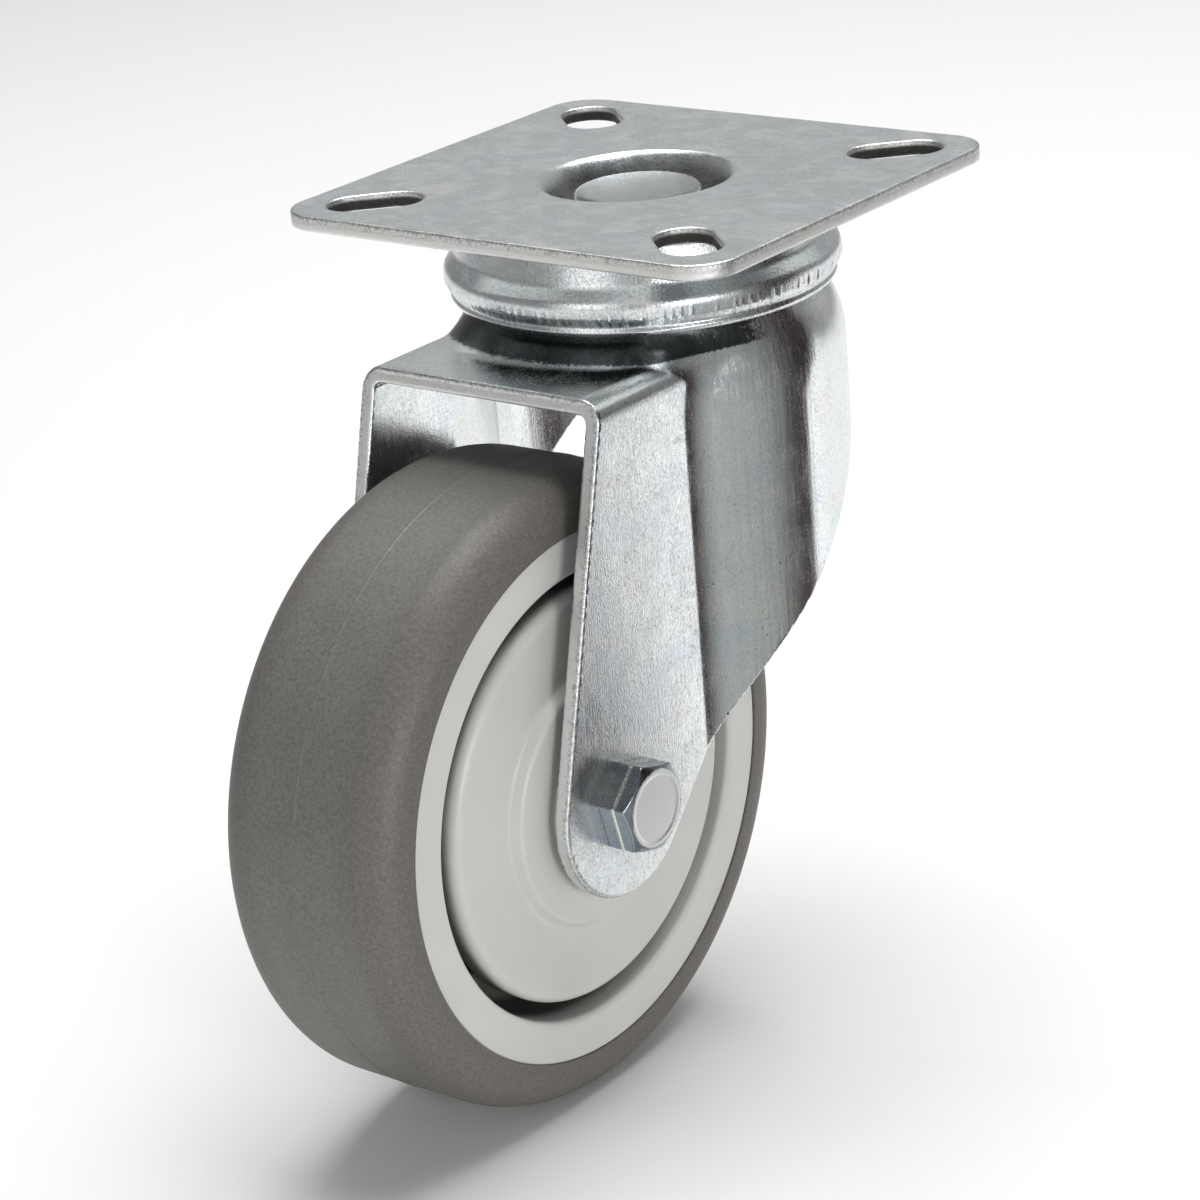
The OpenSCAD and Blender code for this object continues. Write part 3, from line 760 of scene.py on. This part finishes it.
def capCorners():
    # outside from the lip up over the ridge and the waist to the top, and back down inside
    v = capLook
    top, low, big, t = capHigh.z, capLow.z, capHigh.x, v["sheet"]
    lip, waist = v["lipR"], v["waistR"]
    lipIn, shoulder = lip - v["lipWall"], low + v["shoulder"]
    outer = [(lip + 0.4, low, 0.35), (lip + 0.85, low + 0.7, 0.3), (lip + 0.5, low + 1.4, 0.4),
             (big - 0.2, low + 2.8, 1.6), (big + 0.1, low + 5.0, 2.2), (waist + 1.5, low + 7.4, 2.6),
             (waist + 0.4, top - 1.2, 1.5), (waist - 0.8, top, 0.7)]
    inner = [(v["hole"], top, 0.3), (v["hole"], top - t, 0.3), (v["topR"] - 0.9, top - t, 0.5),
             (v["topR"] - 0.4, top - t - 1.3, 1.2), (waist - t, shoulder + 1.4, 1.6),
             (big - t, shoulder - 1.3, 0.6), (big - t, low + 3.4, 1.0), (lipIn, low + 0.6, 0.4),
             (lipIn + 0.1, low, 0.25)]
    return outer + inner


cap = turnProfile("swivelCap", capCorners(), (0, 0, 0), "Z", capLook["turns"], 6, crimp)
finishPiece(cap, capZinc, "mounting_head", "plate_steel", "swivel_cap")


treadHigh, coreHigh = edges("tread")[1], edges("wheel_core")[1]
treadX = treadHigh.x
rimR = coreHigh.z - axleZ        # where the tread is bonded on
wheelAt = (0, axleY, axleZ)
wheelLook = {
    "shoulder": 6.6,
    "flash": 0.10,            # moulding line round the middle of the tread
    "rimIn": 35.5,
    "web": 2.5,               # half the thickness of the web
    "hub": 18,
    "bore": 14,
    "boreStop": 12.6,         # radius and half width of the ring between the bearings
    "stopX": 6,
    "hubX": 14,               # half the hub's length
    "ribs": 8,
    "ribX": 9,                # how far the ribs stand out from the middle
    "ribThick": 2.5,
    "turns": 256,
}


def treadCorners():
    # from the bond with the core, out over one shoulder and the low crown to the other
    v = wheelLook
    runR = treadHigh.z - axleZ - v["flash"]
    return [(rimR, treadX, 0.25), (rimR, -treadX, 0.25), (runR - 0.12, -treadX, v["shoulder"]),
            (runR, -0.30, 0.1), (runR + v["flash"], 0, 0.08), (runR, 0.30, 0.1),
            (runR - 0.12, treadX, v["shoulder"])]


tread = turnProfile("rubberTread", treadCorners(), wheelAt, "X", wheelLook["turns"], 12)
finishPiece(tread, treadRubber, "wheel_body", "tread_rubber", "tread")


def coreHalf():
    # from the middle of the bore out round one side of the core to the middle of the bond
    v = wheelLook
    x = coreHigh.x
    return [(v["boreStop"], v["stopX"], 0.2), (v["bore"], v["stopX"], 0.15), (v["bore"], v["hubX"], 0.4),
            (v["hub"], v["hubX"], 0.5), (v["hub"] + 0.5, v["web"], 1.2), (v["rimIn"] - 0.4, v["web"], 1.2),
            (v["rimIn"], x, 1.0), (rimR, x, 0.30)]


core = turnProfile("wheelCore", coreHalf() + mirrored(coreHalf()), wheelAt, "X", wheelLook["turns"], 6)
finishPiece(core, corePlastic, "wheel_body", "core_plastic", "wheel_core")


def coreRibs():
    # flat ribs on both sides of the web, from the hub to the rim
    v = wheelLook
    points, faces = [], []
    inner, outer = v["hub"] - 0.6, v["rimIn"] + 0.6
    t = v["ribThick"] / 2
    for i in range(v["ribs"]):
        a = i * 2 * math.pi / v["ribs"]
        along, across = np.array([0, math.cos(a), math.sin(a)]), np.array([0, -math.sin(a), math.cos(a)])
        for s in (-1, 1):
            base = len(points)
            for x in (s * (v["web"] - 0.4), s * v["ribX"]):
                for r, w in ((inner, -t), (outer, -t), (outer, t), (inner, t)):
                    points.append(np.array([x, 0, 0]) + along * r + across * w + np.array(wheelAt))
            loops = [(0, 3, 2, 1), (4, 5, 6, 7), (0, 1, 5, 4), (1, 2, 6, 5), (2, 3, 7, 6), (3, 0, 4, 7)]
            faces += [tuple(base + k for k in (loop if s > 0 else loop[::-1])) for loop in loops]
    obj = makeMesh("coreRibs", np.array(points), faces)
    soften = obj.modifiers.new("soften", "BEVEL")
    soften.width, soften.segments = 0.35 * mm, 3
    obj.modifiers.new("even", "WEIGHTED_NORMAL")
    return obj


finishPiece(coreRibs(), corePlastic, "wheel_body", "core_plastic")


guardHigh = edges("thread_guard_right")[1]
guardLook = {
    "wall": 1.8,
    "face": 16.2,             # where the flat of the guard stands
    "boss": 19.7,
    "bossRise": 1.9,
    "hub": 11,                # radius of the face against the leg
    "bore": 6.0,
    "seat": 8.4,              # radius of the end against the bearing, and where it stands
    "seatX": 14,
    "rimX": 11.2,             # where the rim inside the wheel ends
    "edge": 1.9,
    "turns": 224,
}
guardR = guardHigh.z - axleZ


def guardCorners():
    # from the bore's inner end out under the face to the rim, and back over the outside
    v = guardLook
    x, inner, boss = v["face"], v["face"] - v["wall"], v["face"] + v["bossRise"]
    return [(v["bore"], v["seatX"], 0.2), (v["seat"], v["seatX"], 0.15),
            (v["seat"] + 0.8, v["seatX"] + 0.7, 0.2), (v["boss"] - 1.8, inner + 0.25, 0.6),
            (guardR - v["wall"] - 0.3, inner, 0.6), (guardR - v["wall"], v["rimX"], 0.3),
            (guardR, v["rimX"], 0.4), (guardR, x, v["edge"]),
            (v["boss"] + 1.1, x, 0.9), (v["boss"], boss, 0.9), (v["hub"] + 1.2, boss, 0.8),
            (v["hub"], guardHigh.x, 0.4), (v["bore"], guardHigh.x, 0.2)]


for sideName, corners in (("right", guardCorners()), ("left", mirrored(guardCorners()))):
    guard = turnProfile("threadGuard" + sideName.title(), corners, wheelAt, "X", guardLook["turns"], 8)
    finishPiece(guard, guardPlastic, "fork_body", "guard_plastic", "thread_guard_" + sideName)


boltLow, boltHigh = edges("axle_bolt")
nutLow, nutHigh = edges("axle_lock_nut")
boltLook = {
    "flats": 13,
    "shank": 3.95,
    "turn": 15,               # of the head about the axle, in degrees
    "pitch": 1.25,
    "threadDepth": 0.62,
    "threadLength": 16,
    "groove": 2.65,           # how far the groove round the head stands off the leg
    "grooveR": 0.30,
    "dish": 0.10,             # depth of the middle of the head's end
    "dishR": 5.0,
    "margin": 0.6,            # round the box that the mesh is made in
    "cell": 0.19,
}
nutLook = {
    "turn": 0,
    "hexStart": 1.7,          # from the end of the nut to its hexagon
    "collar": 5.9,            # radius of the round end that holds the nylon ring
    "bore": 4.0,
    "pocket": 5.0,            # radius of the ring's pocket, and where it starts and ends
    "pocketFrom": 0.6,
    "pocketTo": 2.8,
}


def hexField(u, w, turnDeg):
    sides = []
    for k in range(3):
        a = math.radians(turnDeg + 60 * k)
        sides.append(np.abs(u * math.cos(a) + w * math.sin(a)) - boltLook["flats"] / 2)
    return roundMax(roundMax(sides[0], sides[1], 0.25), sides[2], 0.25)


def cornerCone(rad, fromEnd, start):
    # the cone that takes a hexagon's corners off at 30 degrees to its end
    return (rad - start * boltLook["flats"]) * 0.5 + fromEnd * 0.866


def boltField(x, y, z):
    v = boltLook
    u, w = y - axleY, z - axleZ
    rad = np.hypot(u, w)
    legOut = forkLook["legOut"]
    top = boltHigh.x
    sides = hexField(u, w, v["turn"])
    head = roundMax(roundMax(sides, cornerCone(rad, x - top, 0.465), 0.12), x - top, 0.12)
    head = roundMax(head, v["grooveR"] - np.hypot(x - legOut - v["groove"], sides), 0.06)
    head = roundMax(head, legOut - x, 0.15)
    head = np.maximum(head, x - top + v["dish"] * (1 - softStep(rad, v["dishR"], v["dishR"] + 0.5)))
    start = boltLow.x + v["threadLength"]
    phase = np.arctan2(w, u) / (2 * math.pi) + x / v["pitch"]
    tooth = np.abs((phase % 1) * 2 - 1)
    depth = v["threadDepth"] * np.clip(tooth * 1.25 - 0.12, 0, 1) * (1 - softStep(x, start - 1, start))
    # the factor keeps the thread's flanks from being too steep to mesh
    shank = (rad - v["shank"] + depth) * 0.85
    tip = (rad - v["shank"] + 0.8) * 0.707 - (x - boltLow.x) * 0.707
    shank = np.maximum(np.maximum(shank, tip), roundMax(boltLow.x - x, x - legOut - 1, 0.1))
    return np.minimum(head, shank)


def boltExtras(x, y, z):
    grooveX = forkLook["legOut"] + boltLook["groove"]
    face = softStep(x, boltHigh.x - 0.35, boltHigh.x - 0.12) * (np.hypot(y - axleY, z - axleZ) < 6)
    return {"endFace": face, "groove": 1 - softStep(np.abs(x - grooveX), 0.15, 0.40)}


def skinRound(name, field, low, high, extras=None):
    # a piece on the axle, between two x values; its corners lie within 8 mm of the axle
    margin, reach = boltLook["margin"], 8
    return skinField(name, field, (low - margin, axleY - reach, axleZ - reach),
                     (high + margin, axleY + reach, axleZ + reach), boltLook["cell"], extras)


boltPiece = skinRound("axleBolt", boltField, boltLow.x, boltHigh.x, boltExtras)
finishPiece(boltPiece, boltZinc, "fork_body", "fastener_steel", "axle_bolt")


def nutField(x, y, z):
    v = nutLook
    rad = np.hypot(y - axleY, z - axleZ)
    inner, outer = nutHigh.x, nutLow.x
    flatEnd = outer + v["hexStart"]
    body = hexField(y - axleY, z - axleZ, v["turn"])
    for fromEnd in (flatEnd - x, x - inner):
        body = roundMax(body, cornerCone(rad, fromEnd, 0.475), 0.12)
    body = np.maximum(body, np.maximum(flatEnd - x, x - inner))
    collar = np.maximum(roundMax(rad - v["collar"], outer - x, 0.9), x - inner)
    f = roundMin(body, collar, 0.3)
    f = roundMax(f, v["bore"] - rad, 0.15)
    pocketEnds = np.maximum(outer + v["pocketFrom"] - x, x - outer - v["pocketTo"])
    return np.maximum(f, -np.maximum(rad - v["pocket"], pocketEnds))


nutPiece = skinRound("axleLockNut", nutField, nutLow.x, nutHigh.x)
finishPiece(nutPiece, boltZinc, "fork_body", "fastener_steel", "axle_lock_nut")


# CAD nodes that are shown as they come, and only get a material
plainNodes = {
    "upper_balls": bearingSteel, "lower_balls": bearingSteel, "lock_nut_ring": nylonWhite,
    "axle_sleeve": boltZinc, "bearing_spacer": boltZinc,
    "outer_race_left": bearingSteel, "outer_race_right": bearingSteel,
    "inner_race_left": bearingSteel, "inner_race_right": bearingSteel,
    "bearing_balls_left": bearingSteel, "bearing_balls_right": bearingSteel,
    "ball_cage_left": cageBrass, "ball_cage_right": cageBrass,
    "bearing_shields_left": boltZinc, "bearing_shields_right": boltZinc,
}
for name, mat in plainNodes.items():
    node = frame["nodes"][name]
    node.data.materials.clear()
    node.data.materials.append(mat)
print("carried-over nodes dressed")


studioLook = {
    "floor": (0.86, 0.86, 0.85),
    "floorR": 2.0,            # in metres, as are the next two
    "bend": 1.0,
    "wallTop": 2.2,
    "world": (0.62, 0.64, 0.66),
    "worldStrength": 0.28,
    "aim": (0, -0.02, -0.06),  # where the lights point
    "cardCentre": (0.02, -0.02),
    "cardHeight": 0.0005,     # of the cards above the floor
}


def makeStudio():
    # a round pale floor that curves up into a low wall all round
    v = studioLook
    rows = [(0.02, 0), (0.5, 0), (v["floorR"], 0)]
    bend = v["bend"]
    steps = 16
    rows += [(v["floorR"] + bend * math.sin(a), bend * (1 - math.cos(a)))
             for a in (math.pi / 2 * k / steps for k in range(1, steps + 1))]
    rows.append((v["floorR"] + bend, v["wallTop"]))
    turns = 96
    verts = [(r * math.cos(2 * math.pi * i / turns), r * math.sin(2 * math.pi * i / turns), cadLow.z + z)
             for r, z in rows for i in range(turns)]
    ring = [(i, (i + 1) % turns) for i in range(turns)]
    faces = [(k * turns + i, k * turns + j, (k + 1) * turns + j, (k + 1) * turns + i)
             for k in range(len(rows) - 1) for i, j in ring]
    faces.append(tuple(range(turns - 1, -1, -1)))
    mesh = bpy.data.meshes.new("studioFloor")
    mesh.from_pydata(verts, [], faces)
    mesh.polygons.foreach_set("use_smooth", [True] * len(mesh.polygons))
    floor = placed("studioFloor", mesh)
    floor.data.materials.append(Paint("paleFloor").finish(v["floor"], 0.6))
    world = bpy.data.worlds.new("studioWorld")
    bpy.context.scene.world = world
    world.use_nodes = True
    sky = world.node_tree.nodes["Background"]
    sky.inputs["Color"].default_value = (*v["world"], 1)
    sky.inputs["Strength"].default_value = v["worldStrength"]


def towards(azimuth, elevation):
    # unit vector to a viewer or light; azimuth runs from the front (-Y) round to +X
    a, e = math.radians(azimuth), math.radians(elevation)
    return Vector((math.sin(a) * math.cos(e), -math.cos(a) * math.cos(e), math.sin(e)))


def softBox(name, azimuth, elevation, distance, size, power):
    light = bpy.data.lights.new(name, "AREA")
    light.shape = "RECTANGLE"
    light.size, light.size_y = size
    light.energy = power
    obj = placed(name, light)
    back = towards(azimuth, elevation)
    obj.location = Vector(studioLook["aim"]) + back * distance
    obj.rotation_euler = (-back).to_track_quat("-Z", "Y").to_euler()


def studioCard(name, color, bearings, height, near=0.03, far=0.55, glow=0.0):
    # A card that only reflections see, as used to shape them in a studio: a wedge on the
    # floor between two bearings (degrees round from +X), with an upright part at its far
    # end. Sizes are in metres, and glow is the strength of its own light.
    v = studioLook
    low, high = [math.radians(b) for b in bearings]
    steps = 12
    turns = [low + (high - low) * k / steps for k in range(steps + 1)]
    rows = [(near, v["cardHeight"]), (far, v["cardHeight"]), (far, height)]
    middleX, middleY = v["cardCentre"]
    verts = [(middleX + r * math.cos(a), middleY + r * math.sin(a), cadLow.z + z)
             for r, z in rows for a in turns]
    n = steps + 1
    faces = [(k * n + i, k * n + i + 1, (k + 1) * n + i + 1, (k + 1) * n + i)
             for k in range(len(rows) - 1) for i in range(steps)]
    mesh = bpy.data.meshes.new(name)
    mesh.from_pydata(verts, [], faces)
    card = placed(name, mesh)
    mat = Paint(name).finish(color, 0.9, Emission_Color=(*color, 1), Emission_Strength=glow)
    card.data.materials.append(mat)
    card.visible_camera = card.visible_diffuse = card.visible_shadow = False


cameraLook = {
    "azimuth": 38.901,        # in degrees, as are the next two
    "elevation": 21.094,
    "roll": 4.716,
    "distance": 561.435,      # in millimetres from the plate's centre, along the view
    "across": 5.588,          # how far the plate's centre lies right of the view's middle
    "above": 65.585,          # and above it
    "lens": 109.16,
}


def makeCamera():
    v = cameraLook
    a, t = math.radians(v["azimuth"]), math.radians(v["roll"])
    back = towards(v["azimuth"], v["elevation"])
    right = Vector((math.cos(a), math.sin(a), 0))
    down = (-back).cross(right)
    rolledRight = math.cos(t) * right + math.sin(t) * down
    rolledDown = -math.sin(t) * right + math.cos(t) * down
    cam = bpy.data.cameras.new("studioCamera")
    cam.lens = v["lens"]
    cam.sensor_width = 36
    cam.clip_start, cam.clip_end = 0.01, 50
    obj = placed("studioCamera", cam)
    turn = Matrix((rolledRight, -rolledDown, back)).transposed().to_4x4()
    place = (back * v["distance"] - rolledRight * v["across"] + rolledDown * v["above"]) * mm
    obj.matrix_world = Matrix.Translation(place) @ turn
    bpy.context.scene.camera = obj


makeCamera()
makeStudio()
softBox("topBox", 190, 76, 1.25, (1.2, 1.0), 20.5)
softBox("backBox", 198, 20, 1.5, (2.6, 1.0), 1.7)
softBox("frontBox", 64, 9, 1.0, (0.28, 0.36), 3.5)
softBox("fillBox", 5, 20, 1.2, (0.6, 0.8), 1.8)
studioCard("blackCard", (0.022, 0.010, 0.012), (19, 46), height=0.5, near=0.09)
studioCard("dimCard", (0.12, 0.115, 0.11), (9, 19), height=0.3)
studioCard("greyCard", (0.31, 0.32, 0.31), (-30, 9), height=0.15)
studioCard("whiteCard", (0.92, 0.93, 0.94), (47, 60), height=0.12, near=0.07, far=0.6, glow=0.11)
bpy.context.scene.view_settings.view_transform = "Standard"
print("studio ready")
